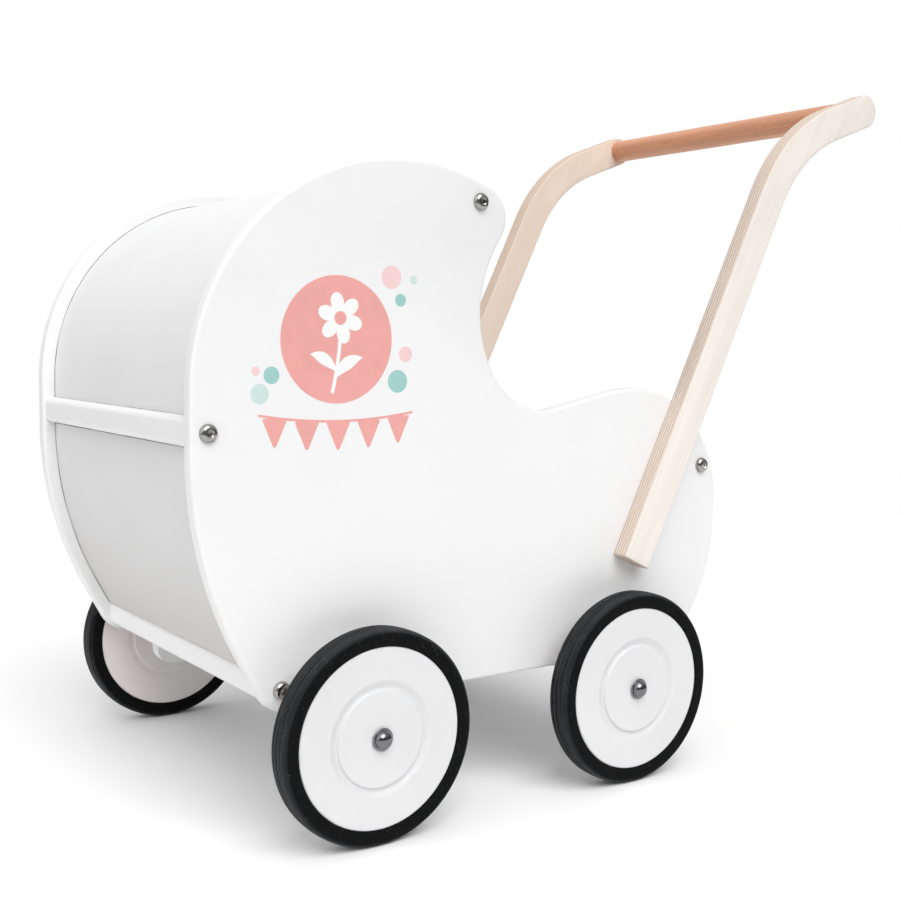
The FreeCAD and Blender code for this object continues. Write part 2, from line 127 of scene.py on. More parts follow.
class WheelSettings(bpy.types.PropertyGroup):
    shoulder: length("Tyre shoulder", "Rounding between tread and side wall", 4 * MM)
    groove_depth: length("Tread groove depth", "Depth of the tread grooves", 1.0 * MM)
    groove_pitch: length("Tread groove pitch", "Distance between tread grooves", 4.2 * MM)
    ring_inner: length("Pressed ring inside", "Inner radius of the disc's pressed ring", 33.2 * MM)
    ring_outer: length("Pressed ring outside", "Outer radius of the disc's pressed ring", 40.8 * MM)
    ring_depth: length("Pressed ring depth", "Depth of the disc's pressed ring", 2.0 * MM)
    inner_ring_depth: length("Inner ring depth", "Depth of the shallow ring in an inner disc", 0.5 * MM)
    segments: IntProperty(name="Segments", description="Steps round a wheel", default=160,
                          min=32, max=256)
    disc_paint: colour("Disc paint", "White coating of the wheel discs", (0.70, 0.70, 0.708))
    # Painted light: the inner discs get a lighter, warmer copy of the disc paint; its lightness stands in
    # for light on their shaded sides.
    lightened_inner_paint: colour("Inner disc paint", "Warmer coating of the discs on the wheels' inner sides",
                        (0.86, 0.81, 0.79))
    rubber: colour("Rubber", "Colour of the solid tyres", (0.0032, 0.0034, 0.0038))


class HandleSettings(bpy.types.PropertyGroup):
    arm_width: length("Arm width", "Width of a handle arm seen from the side", 28 * MM)
    straight: length("Straight run", "From an arm's foot to the corner of its bend", 386 * MM)
    top: length("Top run", "From the corner of the bend to the grip's centre", 100 * MM)
    bend: length("Bend radius", "Radius of the bend on the arm's middle line", 135 * MM)
    foot_x: length("Foot behind middle", "Foot of the arm behind the middle of the wheelbase", 133.5 * MM)
    foot_z: length("Foot height", "Foot of the arm above the floor", 169 * MM)
    lean: tilt("Lean", "Lean of the arms from upright", 26.0)
    rise: tilt("Rise", "Rise of the arms' tops above level", 20.5)
    edge_round: length("Edge rounding", "Radius on the edges of the arms", 1.5 * MM)
    plies: IntProperty(name="Plies", description="Layers in the arms' plywood", default=11, min=3, max=21)
    birch: colour("Birch", "Face veneer of the left arm", (0.86, 0.81, 0.75))
    # Painted shade: the right arm's birch is a darker, warmer copy of the left arm's; its darkness stands
    # in for shade on that arm.
    warm_birch: colour("Warm birch", "Face veneer of the right arm", (0.79, 0.655, 0.55))
    beech: colour("Beech", "Round grip", (0.66, 0.305, 0.17))


class PrintSettings(bpy.types.PropertyGroup):
    disc_radius: length("Disc radius", "Radius of the large printed disc", 43 * MM)
    thickness: length("Film thickness", "Height of the printed film over the paint", 0.12 * MM)
    coral: colour("Coral", "Large disc and the row of pennants", (0.81, 0.375, 0.345))
    pink: colour("Pale pink", "Pale pink dots", (0.87, 0.61, 0.605))
    teal: colour("Teal", "Teal dots", (0.34, 0.59, 0.555))
    pale_teal: colour("Pale teal", "Pale teal dots", (0.58, 0.73, 0.705))


class StudioSettings(bpy.types.PropertyGroup):
    lens: FloatProperty(name="Lens", description="Focal length on a 36 mm wide sensor",
                        default=50.983, min=10.0, max=200.0, subtype="DISTANCE_CAMERA")
    floor: colour("Floor", "Plain pale floor", (0.93, 0.93, 0.93))
    key: strength("Key light", "Strength of the broad soft light over the left side", 2.22)
    key_height: tilt("Key height", "Elevation of the key light", 48.0)
    key_compass: tilt("Key direction", "Direction of the key light from the hood end", 78.0)
    key_spread: tilt("Key softness", "Angle that the key light fills", 50.0)
    fill: strength("Fill light", "Strength of the soft light over the hood", 0.76)
    fill_height: tilt("Fill height", "Elevation of the fill light", 28.0)
    fill_compass: tilt("Fill direction", "Direction of the fill light from the hood end", 0.0)
    back: strength("Back light", "Strength of the soft light from behind the right side", 0.5)
    back_height: tilt("Back height", "Elevation of the back light", 24.0)
    back_compass: tilt("Back direction", "Direction of the back light from the hood end", 262.0)
    side_spread: tilt("Side softness", "Angle that the fill light and the back light each fill", 60.0)
    sky: strength("Room light above", "Even light from the upper part of the room", 0.58)
    walls: strength("Room light at the sides", "Light from the room's walls", 0.16)


# ---------------------------------------------------------------------------- surfaces
class Surface:
    """A closed shape: points, four-sided faces, many-sided caps and a rim value per point.
    Its signed volume, the sum of corner . (corner x corner) / 6, decides which way faces turn."""

    def __init__(self, points, quads, caps=(), rim=None):
        self.points = np.asarray(points, float)
        self.quads = np.asarray(quads, int).reshape(-1, 4)
        self.caps = [np.asarray(cap, int) for cap in caps]
        self.rim = np.zeros(len(self.points)) if rim is None else np.asarray(rim, float)
        fans = [np.stack([np.full(len(cap) - 2, cap[0]), cap[1:-1], cap[2:]], 1) for cap in self.caps]
        triangles = np.concatenate([self.quads[:, [0, 1, 2]], self.quads[:, [0, 2, 3]]] + fans)
        corner = self.points[triangles] - self.points.mean(0)
        volume = np.einsum("ij,ij->i", corner[:, 0], np.cross(corner[:, 1], corner[:, 2])).sum()
        if volume < 0:
            self.quads = self.quads[:, ::-1]
            self.caps = [cap[::-1] for cap in self.caps]


def lattice(points, rim=None, tube=False):
    """Quads over rows x columns of points. Columns close into a loop. Rows close as well on a
    tube, and otherwise the first and the last row each get one flat cap."""
    rows, columns = points.shape[:2]
    index = np.arange(rows * columns).reshape(rows, columns)
    right = np.roll(index, -1, axis=1)
    if tube:
        quads = np.stack([index, right, np.roll(right, -1, axis=0), np.roll(index, -1, axis=0)], -1)
        caps = ()
    else:
        quads = np.stack([index[:-1], right[:-1], right[1:], index[1:]], -1)
        caps = (index[0][::-1], index[-1])
    flat_rim = None if rim is None else np.broadcast_to(rim[:, None], (rows, columns)).ravel()
    return Surface(points.reshape(-1, 3), quads, caps, flat_rim)


def piece(name, surfaces, finish, body, crease=40.0):
    """One object from closed surfaces, with smooth shading up to the crease angle, riding on a body."""
    if not surfaces:
        raise ValueError(name + " has no surface")
    offsets = np.cumsum([0] + [len(surface.points) for surface in surfaces[:-1]])
    points = np.concatenate([surface.points for surface in surfaces])
    faces = []
    for surface, offset in zip(surfaces, offsets):
        faces += (surface.quads + offset).tolist()
        faces += [(cap + offset).tolist() for cap in surface.caps]
    mesh = bpy.data.meshes.new(name)
    mesh.from_pydata(points.tolist(), [], faces)
    mesh.polygons.foreach_set("use_smooth", np.ones(len(faces), bool))
    rim = mesh.attributes.new("rim", "FLOAT", "POINT")
    values = np.concatenate([surface.rim for surface in surfaces])
    rim.data.foreach_set("value", values.astype(np.float32))
    mesh.update()
    mesh.set_sharp_from_angle(angle=math.radians(crease))
    mesh.materials.append(finish)
    made = bpy.data.objects.new(name, mesh)
    bpy.context.scene.collection.objects.link(made)
    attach(made, body)
    return made


def rays(angle):
    """Unit vectors (cos a, sin a)."""
    return np.stack([np.cos(angle), np.sin(angle)], -1)


def unit(vectors):
    """The same directions with length 1."""
    return vectors / np.linalg.norm(vectors, axis=1)[:, None]


def rounded_loop(corners, samples=20):
    """Closed loop in a plane from corners (u, v, radius). At a corner whose two sides part by the
    angle 2h, the arc's centre lies radius / sin h along the bisector, and the arc touches both
    sides at radius / tan h. Returns points and outward normals."""
    table = np.array(corners, float)
    spot, radius = table[:, :2], table[:, 2]
    before = unit(np.roll(spot, 1, axis=0) - spot)
    after = unit(np.roll(spot, -1, axis=0) - spot)
    half = 0.5 * np.arccos(np.clip((before * after).sum(1), -1, 1))
    reach = (radius / np.tan(half))[:, None]
    centre = spot + unit(before + after) * (radius / np.sin(half))[:, None]
    start = spot + before * reach - centre
    stop = spot + after * reach - centre
    first = np.arctan2(start[:, 1], start[:, 0])
    turn = (np.arctan2(stop[:, 1], stop[:, 0]) - first + math.pi) % (2 * math.pi) - math.pi
    ray = rays(first[:, None] + turn[:, None] * np.linspace(0, 1, samples))
    points = centre[:, None] + radius[:, None, None] * ray
    x, y = points.reshape(-1, 2).T
    way = np.sign((x * np.roll(y, -1) - y * np.roll(x, -1)).sum())
    normals = ray * (way * np.sign(turn))[:, None, None]
    return points.reshape(-1, 2), normals.reshape(-1, 2)


def box_loop(left, low, right, high, radius, samples):
    """Rounded rectangle as a closed loop."""
    return rounded_loop([(left, low, radius), (right, low, radius),
                         (right, high, radius), (left, high, radius)], samples)


def finer(loop, step):
    """The same loop with its long sides cut into equal runs, none longer than the step."""
    points, normals = loop
    ahead, turned_to = np.roll(points, -1, axis=0), np.roll(normals, -1, axis=0)
    gap = np.linalg.norm(ahead - points, axis=1)
    keep = gap > 1e-9
    points, normals, ahead, turned_to = points[keep], normals[keep], ahead[keep], turned_to[keep]
    runs = np.ceil(gap[keep] / step).astype(int)
    side = np.repeat(np.arange(len(points)), runs)
    t = ((np.arange(runs.sum()) - np.repeat(np.cumsum(runs) - runs, runs)) / runs[side])[:, None]
    between = normals[side] * (1 - t) + turned_to[side] * t
    return points[side] * (1 - t) + ahead[side] * t, unit(between)


def slab(loop, here, there, rounding=0.0, steps=5):
    """Board whose outline lies in the XZ plane, between two y levels. Near each face the outline
    shrinks by r (1 - cos a) and the level moves by r sin a, for a from 0 to 90 degrees.
    The rim value falls from 1 on the edge to 0 on the faces."""
    points, normals = loop
    low, high = sorted((here, there))
    if rounding:
        angle = np.linspace(0, math.pi / 2, steps + 1)
        inset = rounding * (1 - np.cos(angle))
        rise = rounding * np.sin(angle)
        fade = 1 - angle / (math.pi / 2)
        insets = np.concatenate([inset[::-1], inset])
        levels = np.concatenate([low + rounding - rise[::-1], high - rounding + rise])
        rim = np.concatenate([fade[::-1], fade])
    else:
        insets, levels, rim = np.zeros(2), np.array([low, high]), np.ones(2)
    flat = points[None] - insets[:, None, None] * normals[None]
    level = np.broadcast_to(levels[:, None], flat.shape[:2])
    return lattice(np.stack([flat[..., 0], level, flat[..., 1]], -1), rim)


def turned(profile, centre, segments, tube=False):
    """Solid of revolution about a line along y: (r, y) goes to centre + (r cos a, y, r sin a)."""
    profile = np.asarray(profile, float)
    angle = np.linspace(0, 2 * math.pi, segments, endpoint=False)
    radius, y = profile[:, 0, None], profile[:, 1, None]
    grid = np.stack([radius * np.cos(angle), np.broadcast_to(y, (len(profile), segments)),
                     radius * np.sin(angle)], -1)
    return lattice(grid + np.array(centre), tube=tube)


def ribbon(points, half_width):
    """Closed flat loop round a plane curve: each point steps to both sides by its half width,
    square to the line from the point before to the point after."""
    along = unit(np.gradient(points, axis=0))
    side = np.stack([along[:, 1], -along[:, 0]], -1)
    width = np.asarray(half_width)[:, None] * np.ones((len(points), 1))
    loop = np.concatenate([points + side * width, (points - side * width)[::-1]])
    return loop, np.concatenate([side, -side[::-1]])


def bow(start, control, stop, count=24):
    """Quadratic curve (1-t)^2 start + 2t(1-t) control + t^2 stop."""
    t = np.linspace(0, 1, count)[:, None]
    return (1 - t) ** 2 * np.array(start) + 2 * t * (1 - t) * np.array(control) + t ** 2 * np.array(stop)


def circle_loop(x, z, radius, count=72):
    """Circle with its outward normals."""
    ray = rays(np.linspace(0, 2 * math.pi, count, endpoint=False))
    return np.array([x, z]) + radius * ray, ray


# ---------------------------------------------------------------------------- finishes
class Value:
    """A number that varies over a surface. Sums and products with it add Math nodes."""

    def __init__(self, finish, socket):
        self.finish = finish
        self.socket = socket

    def math(self, operation, *terms):
        settings = {"operation": operation}
        return self.finish.node("ShaderNodeMath", settings, dict(enumerate(terms)))

    def __add__(self, other):
        return self.math("ADD", self, other)

    def __radd__(self, other):
        return self.math("ADD", other, self)

    def __sub__(self, other):
        return self.math("SUBTRACT", self, other)

    def __rsub__(self, other):
        return self.math("SUBTRACT", other, self)

    def __mul__(self, other):
        return self.math("MULTIPLY", self, other)

    def __rmul__(self, other):
        return self.math("MULTIPLY", other, self)

    def __abs__(self):
        return self.math("ABSOLUTE", self)

    def __mod__(self, other):
        return self.math("FLOORED_MODULO", self, other)

    def ramp(self, low, high):
        """Smooth step from 0 at low to 1 at high."""
        return self.finish.node("ShaderNodeMapRange", {"interpolation_type": "SMOOTHSTEP"},
                                {"Value": self, "From Min": low, "From Max": high})


class Finish:
    """A material with one shader. Constants go on the shader's sockets when it is made."""

    def __init__(self, name, **constants):
        self.material = bpy.data.materials.new(name)
        self.material.use_nodes = True
        self.tree = self.material.node_tree
        self.shader = self.tree.nodes["Principled BSDF"]
        for key, value in constants.items():
            self.shader.inputs[key.replace("_", " ")].default_value = value
        self.place = self.node("ShaderNodeTexCoord", {}, {}, "Object")

    def axis(self, letter):
        """One coordinate of the object place, in metres."""
        return self.node("ShaderNodeSeparateXYZ", {}, {"Vector": self.place}, letter)

    def polar(self, centre):
        """Distances along x and z from an axle, and the radius as the root of x^2 + z^2."""
        dx, dz = self.axis("X") - centre[0], self.axis("Z") - centre[1]
        square = dx * dx + dz * dz
        return dx, dz, square.math("SQRT", square)

    def circling(self, across, dx, dz, pitch):
        """Noise drawn out round an axle: fine in the given coordinate, slow round the circle."""
        place = self.node("ShaderNodeCombineXYZ", {}, {"X": across, "Y": dx * pitch, "Z": dz * pitch})
        return self.noise(1.0, 3.0, 0.6, place)

    def node(self, kind, settings, sockets, output=0):
        """Adds a node, sets its settings, then fills its sockets with numbers, colours or links."""
        made = self.tree.nodes.new(kind)
        for key, value in settings.items():
            setattr(made, key, value)
        for key, value in sockets.items():
            if isinstance(value, Value):
                self.tree.links.new(value.socket, made.inputs[key])
            else:
                made.inputs[key].default_value = value
        return Value(self, made.outputs[output])

    def stretched(self, size, turn=(0.0, 0.0, 0.0)):
        """Object place turned, then divided by a feature size along each of the turned axes."""
        return self.node("ShaderNodeMapping", {"vector_type": "TEXTURE"},
                         {"Vector": self.place, "Rotation": turn, "Scale": size})

    def noise(self, scale, detail=2.0, rough=0.5, place=None):
        """Cloudy value from 0 to 1 with the given number of features per metre."""
        return self.node("ShaderNodeTexNoise", {}, {"Vector": place or self.place, "Scale": scale,
                                                    "Detail": detail, "Roughness": rough})

    def attribute(self, name):
        """A number stored on the mesh's points."""
        return self.node("ShaderNodeAttribute", {"attribute_name": name}, {}, "Fac")

    def blend(self, factor, low, high):
        """Colour from low to high as the factor goes from 0 to 1."""
        return self.node("ShaderNodeMix", {"data_type": "RGBA"},
                         {0: factor, 6: opaque(low), 7: opaque(high)}, 2)

    def relief(self, height, depth, strength=1.0, over=None):
        """Small bumps of the given depth in metres, on top of another relief if there is one."""
        sockets = {"Height": height, "Distance": depth, "Strength": strength}
        if over:
            sockets["Normal"] = over
        return self.node("ShaderNodeBump", {}, sockets)

    def end(self, **channels):
        """Links what varies to the shader."""
        for key, value in channels.items():
            self.tree.links.new(value.socket, self.shader.inputs[key.replace("_", " ")])
        return self.material


def opaque(tone):
    """A colour with alpha 1, or a link left as it is."""
    if isinstance(tone, Value):
        return tone
    return (tone[0], tone[1], tone[2], 1.0)


def shade(tone, factor):
    """A colour made darker or lighter."""
    return tuple(min(1.0, part * factor) for part in tone[:3])


def painted(name, tone, rough=0.36, grain=None, shaded_below=None):
    """Satin lacquer on board: faint cloudiness, roller texture, and thinner, slightly
    rubbed paint where the edges turn. A grain size lets timber show faintly through, and below a
    given height painted shade darkens the paint, more so towards the floor."""
    f = Finish(name, Specular_IOR_Level=0.42)
    cloud = f.noise(9.0, 3.0)
    fine = f.noise(420.0, 2.0)
    base = f.blend(cloud.ramp(0.3, 0.75), tone, shade(tone, 0.972))
    rim = f.attribute("rim")
    turn = rim * (1 - rim) * 4
    rub = turn * f.noise(70.0, 4.0, 0.6).ramp(0.50, 0.72) * 0.22
    smudge = f.noise(38.0, 5.0, 0.6).ramp(0.60, 0.78) * 0.10
    base = f.blend(smudge, base, (0.70, 0.685, 0.66))
    base = f.blend(rub, base, (0.60, 0.565, 0.51))
    if shaded_below:
        # Painted shade: below the shade line the paint is darkened towards grey-brown, more so towards
        # the floor, in place of the shade that falls there.
        dust_and_shade = (shaded_below - f.axis("Z") + 0.03 * (cloud - 0.5)).ramp(0.0, 0.19)
        base = f.blend(dust_and_shade * 0.55, base, (0.42, 0.40, 0.385))
    skin = f.relief(fine, 0.00005, 0.8)
    if grain:
        timber = f.noise(1.0, 3.0, 0.55, f.stretched(grain))
        skin = f.relief(timber, 0.00012, 0.6, skin)
        base = f.blend(timber.ramp(0.58, 0.80) * 0.10, base, shade(tone, 0.88))
    sheen = rough + 0.10 * f.noise(26.0, 3.0) + 0.06 * fine + 0.12 * rub
    return f.end(Base_Color=base, Roughness=sheen, Normal=skin)


def birch_plywood(name, tone, lean, plies, low, high):
    """Birch plywood. Faces: long fine grain, a broad slow figure and short dark flecks. Edges: plies
    across the thickness from low to high, every second one darker end grain, with glue lines."""
    f = Finish(name, Specular_IOR_Level=0.3)
    turn = (0.0, -lean, 0.0)
    fine = f.noise(1.0, 4.0, 0.6, f.stretched((0.0011, 0.004, 0.06), turn))
    figure = f.noise(1.0, 3.0, 0.5, f.stretched((0.010, 0.02, 0.16), turn))
    fleck = f.noise(1.0, 1.0, 0.5, f.stretched((0.0007, 0.004, 0.007), turn)).ramp(0.70, 0.78)
    streak = f.noise(1.0, 2.0, 0.6, f.stretched((0.0022, 0.01, 0.09), turn)).ramp(0.60, 0.76)
    face = f.blend(figure.ramp(0.3, 0.72), tone, shade(tone, 0.94))
    face = f.blend(fine.ramp(0.42, 0.76) * 0.17, face, (0.66, 0.50, 0.36))
    face = f.blend(streak * 0.13, face, (0.56, 0.38, 0.25))
    face = f.blend(fleck * 0.30, face, (0.36, 0.21, 0.12))
    wander = (f.noise(26.0, 2.0) - 0.5) * 0.0006
    layer = (abs(f.axis("Y")) + wander - low) * (plies / (high - low))
    within = layer % 1.0
    odd = 1 - abs((layer % 2.0) - 1.0).ramp(0.46, 0.54)
    glue = abs(within - 0.5).ramp(0.38, 0.47)
    pores = f.noise(1600.0, 2.0, 0.6)
    along = f.noise(1.0, 3.0, 0.6, f.stretched((0.002, 0.0006, 0.03), turn))
    pale = f.blend(along.ramp(0.35, 0.75), shade(tone, 0.90), (0.70, 0.585, 0.48))
    dark = f.blend(pores.ramp(0.35, 0.70), (0.67, 0.515, 0.42), (0.52, 0.375, 0.285))
    edge = f.blend(odd, pale, dark)
    edge = f.blend(glue * 0.42, edge, (0.37, 0.22, 0.15))
    on_edge = f.attribute("rim").ramp(0.30, 0.62)
    base = f.blend(on_edge, face, edge)
    rough = 0.52 + 0.12 * fine + 0.10 * on_edge
    fibre = f.relief(fine - 0.6 * fleck, 0.00012, 0.7)
    cut = f.relief(odd * pores * 0.6 + glue * 0.6, 0.00012, 0.6, fibre)
    return f.end(Base_Color=base, Roughness=rough, Normal=cut)


def beech(tone):
    """Oiled beech: lengthwise grain, broad bands, and the short dark ray flecks beech has."""
    f = Finish("beech", Coat_Weight=0.18, Coat_Roughness=0.32, Specular_IOR_Level=0.4)
    grain = f.noise(1.0, 4.0, 0.6, f.stretched((0.0012, 0.05, 0.0012)))
    band = f.noise(1.0, 3.0, 0.5, f.stretched((0.007, 0.20, 0.007)))
    ray = f.noise(1.0, 1.0, 0.5, f.stretched((0.0007, 0.0035, 0.0007))).ramp(0.64, 0.74)
    base = f.blend(band.ramp(0.3, 0.7), shade(tone, 1.08), shade(tone, 0.88))
    base = f.blend(grain.ramp(0.42, 0.75) * 0.32, base, shade(tone, 0.55))
    base = f.blend(ray * 0.60, base, (0.20, 0.08, 0.04))
    skin = f.relief(grain - 0.7 * ray, 0.00012, 0.6)
    return f.end(Base_Color=base, Roughness=0.38 + 0.16 * grain, Normal=skin)


def steel(name, tone, rough, brush=None, stain=0.25):
    """Plated steel: soft stains, hairline scratches and a slightly uneven polish."""
    f = Finish(name, Metallic=1.0)
    cloud = f.noise(160.0, 4.0, 0.6)
    hair = f.noise(1.0, 2.0, 0.6, f.stretched(brush or (0.0003, 0.004, 0.006)))
    base = f.blend(cloud.ramp(0.45, 0.80) * stain, tone, shade(tone, 0.45))
    skin = f.relief(hair, 0.00002, 0.5)
    sheen = rough + 0.12 * cloud.ramp(0.4, 0.8) + 0.05 * hair
    return f.end(Base_Color=base, Roughness=sheen, Normal=skin)


def coated_disc(name, tone, centre):
    """White coating on pressed steel: fine orange peel, dust that settles in the pressed ring and
    near the rim, and faint scuffs that run round the axle."""
    f = Finish(name, Specular_IOR_Level=0.5)
    peel = f.noise(520.0, 2.0)
    dx, dz, radius = f.polar(centre)
    ring = radius.ramp(0.0325, 0.037) * (1 - radius.ramp(0.037, 0.0415))
    lip = radius.ramp(0.0600, 0.0632)
    dirt = f.noise(90.0, 5.0, 0.65).ramp(0.42, 0.75)
    scuff = f.circling(radius * 900.0, dx, dz, 18.0).ramp(0.63, 0.74)
    base = f.blend(f.noise(14.0, 3.0).ramp(0.3, 0.8), tone, shade(tone, 0.965))
    base = f.blend(ring * dirt * 0.16, base, (0.48, 0.46, 0.43))
    base = f.blend(lip * dirt * 0.40, base, (0.30, 0.29, 0.28))
    base = f.blend(scuff * 0.10, base, (0.45, 0.44, 0.43))
    sheen = 0.33 + 0.08 * peel + 0.14 * scuff + 0.12 * ring * dirt
    return f.end(Base_Color=base, Roughness=sheen, Normal=f.relief(peel, 0.00005, 0.7))


def tyre_rubber(name, tone, centre, wheel_radius):
    """Black rubber: fine pores, pale dust in the tread grooves, a greyer tread band, partly scuffed
    rubber and partly painted sheen, and faint rings on the side walls from the mould."""
    f = Finish(name, Specular_IOR_Level=0.09)
    dx, dz, radius = f.polar(centre)
    tread = radius.ramp(wheel_radius - 0.0040, wheel_radius - 0.0008)
    dust_and_shade = f.noise(210.0, 5.0, 0.7).ramp(0.50, 0.78)
    speck = f.noise(640.0, 1.0, 0.5).ramp(0.70, 0.76) * f.noise(60.0, 2.0).ramp(0.38, 0.62)
    pore = f.noise(1500.0, 2.0)
    rings = f.circling(radius * 1300.0 + f.axis("Y") * 900.0, dx, dz, 14.0)
    # Painted sheen: the tread band's greyer tone is partly scuffed rubber and partly stands in for the
    # sheen along the tread.
    base = f.blend(tread * rings.ramp(0.30, 0.70), tone, (0.042, 0.044, 0.048))
    base = f.blend(dust_and_shade * (0.05 + 0.20 * tread), base, (0.115, 0.113, 0.11))
    base = f.blend(speck * (0.12 + 0.14 * rings), base, (0.30, 0.30, 0.30))
    skin = f.relief(pore, 0.00006, 0.8)
    skin = f.relief(rings, 0.00018, 0.7, skin)
    sheen = 0.66 - 0.20 * tread + 0.16 * dust_and_shade + 0.06 * pore
    return f.end(Base_Color=base, Roughness=sheen, Normal=skin)


def hub_plastic():
    """Off-white moulded plastic with a fine spark-eroded texture."""
    f = Finish("hub_plastic", Specular_IOR_Level=0.5)
    grain = f.noise(1400.0, 2.0)
    base = f.blend(f.noise(60.0, 3.0), (0.70, 0.69, 0.66), (0.61, 0.60, 0.575))
    return f.end(Base_Color=base, Roughness=0.40 + 0.15 * grain, Normal=f.relief(grain, 0.00005, 0.7))


def seam_shadow():
    """Painted shadow: the dark hairline gap beside a skin and along the front rail, wider and darker in
    places.
    """
    f = Finish("seam_shadow", Specular_IOR_Level=0.1)
    along = f.noise(34.0, 4.0, 0.6).ramp(0.36, 0.62)
    base = f.blend(along, (0.155, 0.14, 0.125), (0.40, 0.385, 0.365))
    return f.end(Base_Color=base, Roughness=0.85 + 0.1 * along)


def print_film(name, tone):
    """Printed vinyl film: even colour with faint mottling and a fine leather-like grain."""
    f = Finish(name, Specular_IOR_Level=0.35)
    cloud = f.noise(55.0, 4.0, 0.6)
    grain = f.noise(1500.0, 2.0)
    base = f.blend(cloud.ramp(0.35, 0.8), tone, shade(tone, 0.94))
    base = f.blend(grain.ramp(0.62, 0.8) * 0.12, base, (0.95, 0.93, 0.92))
    return f.end(Base_Color=base, Roughness=0.44 + 0.10 * cloud, Normal=f.relief(grain, 0.00003, 0.7))


# ------------------------------------------------------------------------ board outline
def panel_loop(samples, step):
    """Outline of a side panel from the bottom front round the hood and back to the heel, in
    metres about the middle of the wheelbase."""
    corners = np.array([
        (182.5, 92.5, 21.5), (239, 196, 290), (239, 467.5, 160), (41, 467.5, 180),
        (-18.5, 443, 22.5), (26, 367, 90), (-18, 284, 56), (-113.5, 304.5, 22),
        (-235.5, 323, 96), (-235.5, 151, 138), (-192.5, 92.5, 25)]) * MM
    corners[:, 0] += mid_x
    return finer(rounded_loop(corners, samples), step)


def stretch(loop, start, stop, near, far):
    """The closed section between two insets of a loop, from the point nearest to start to the point
    nearest to stop: points minus inset times normal, out along one inset and back on the other."""
    points, normals = loop
    line = points - near * normals
    first = np.argmin(np.linalg.norm(line - np.array(start), axis=1))
    last = np.argmin(np.linalg.norm(line - np.array(stop), axis=1))
    order = np.arange(first, last + 1 if last > first else last + len(points) + 1) % len(points)
    out = points[order] - near * normals[order]
    back = (points[order] - far * normals[order])[::-1]
    return np.concatenate([out, back]), np.concatenate([normals[order], -normals[order][::-1]])


def skin_ends():
    """Start and stop of each skin in the XZ plane, just inside the rails it runs between."""
    hood_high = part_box("hood_rail")[1]
    front_low, front_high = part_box("front_rail")
    rear_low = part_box("rear_rail")[0]
    toe_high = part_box("front_lower_rail")[1]
    heel_low, heel_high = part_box("rear_lower_rail")
    front_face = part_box("front_skin")[1].x
    rear_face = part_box("rear_skin")[0].x
    lap, low_lap = 1.0 * MM, 1.5 * MM
    return {
        "front_skin": ((toe_high.x, toe_high.z - low_lap), (front_face, front_low.z + lap)),
        "hood_skin": ((front_face, front_high.z - lap), (hood_high.x - lap, hood_high.z)),
        "rear_skin": ((rear_face, rear_low.z + lap), (heel_low.x, heel_high.z - low_lap)),
    }


# --------------------------------------------------------------------------- operators
class PRAM_OT_side_panels(bpy.types.Operator):
    """Both side panels with softly rounded edges"""
    bl_idname = "pram.side_panels"
    bl_label = "Side panels"

    def execute(self, context):
        boards = context.scene.pram_boards
        finish = painted("painted_board", boards.paint)
        loop = panel_loop(64, 8 * MM)
        for side, out in SIDES.items():
            board = slab(loop, out * inner_y, out * outer_y, boards.edge_round)
            made = piece("panel_" + side, [board], finish, "chassis")
            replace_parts(made, "side_panel_" + side)
        return {"FINISHED"}


class PRAM_OT_skins(bpy.types.Operator):
    """Curved hood, front and rear skins, and painted shadow strips at their seams and the front rail"""
    bl_idname = "pram.skins"
    bl_label = "Skins and seams"

    def execute(self, context):
        boards = context.scene.pram_boards
        upper = painted("painted_sheet", boards.skin_paint, 0.40)
        # The lower skins' finish is a darker copy of the skin paint, darkened further below the shade
        # line: painted shade.
        lower = painted("painted_sheet_lower", boards.shaded_lower_skin_paint, 0.40,
                        shaded_below=boards.shade_line)
        gap = seam_shadow()
        loop = panel_loop(170, 1.5 * MM)
        near, far = boards.skin_inset, boards.skin_inset + boards.skin_thickness
        proud, buried, entry = 0.06 * MM, 0.2 * MM, 3 * MM
        seam_shadows = []
        for name, (start, stop) in skin_ends().items():
            section = stretch(loop, start, stop, near, far)
            finish = upper if name == "hood_skin" else lower
            sheet = slab(section, -inner_y - entry, inner_y + entry)
            made = piece(name + "_sheet", [sheet], finish, "chassis")
            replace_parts(made, name)
            # Painted shadow: dark strips on the panels' inner faces along both faces of each skin, where
            # the seam lies in shade.
            for inset in (near - boards.seam_shadow_width, far):
                line = stretch(loop, start, stop, inset, inset + boards.seam_shadow_width)
                seam_shadows += [slab(line, out * (inner_y - proud), out * (inner_y + buried))
                          for out in SIDES.values()]
        # Painted shadow: dark strips on the skin face under the front rail and where its top meets the
        # hood skin.
        rail_low, rail_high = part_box("front_rail")
        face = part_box("front_skin")[1].x
        lap, under = 0.3 * MM, 1.5 * MM
        for low, high in ((rail_low.z - under, rail_low.z + lap),
                          (rail_high.z - lap, rail_high.z + lap)):
            strip = box_loop(face - 0.5 * MM, low, face + 0.12 * MM, high, 0.1 * MM, 3)
            seam_shadows.append(slab(strip, -inner_y, inner_y))
        piece("skin_seams", seam_shadows, gap, "chassis")
        return {"FINISHED"}


class PRAM_OT_rails(bpy.types.Operator):
    """The five rails between the side panels"""
    bl_idname = "pram.rails"
    bl_label = "Rails"

    def execute(self, context):
        boards = context.scene.pram_boards
        finish = painted("painted_batten", boards.paint, 0.34, (0.002, 0.05, 0.002))
        for name in RAILS:
            low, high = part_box(name)
            loop = box_loop(low.x, low.z, high.x, high.z, boards.rail_round, 9)
            batten = slab(loop, low.y, high.y)
            made = piece(name + "_batten", [batten], finish, "chassis")
            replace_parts(made, name)
        return {"FINISHED"}


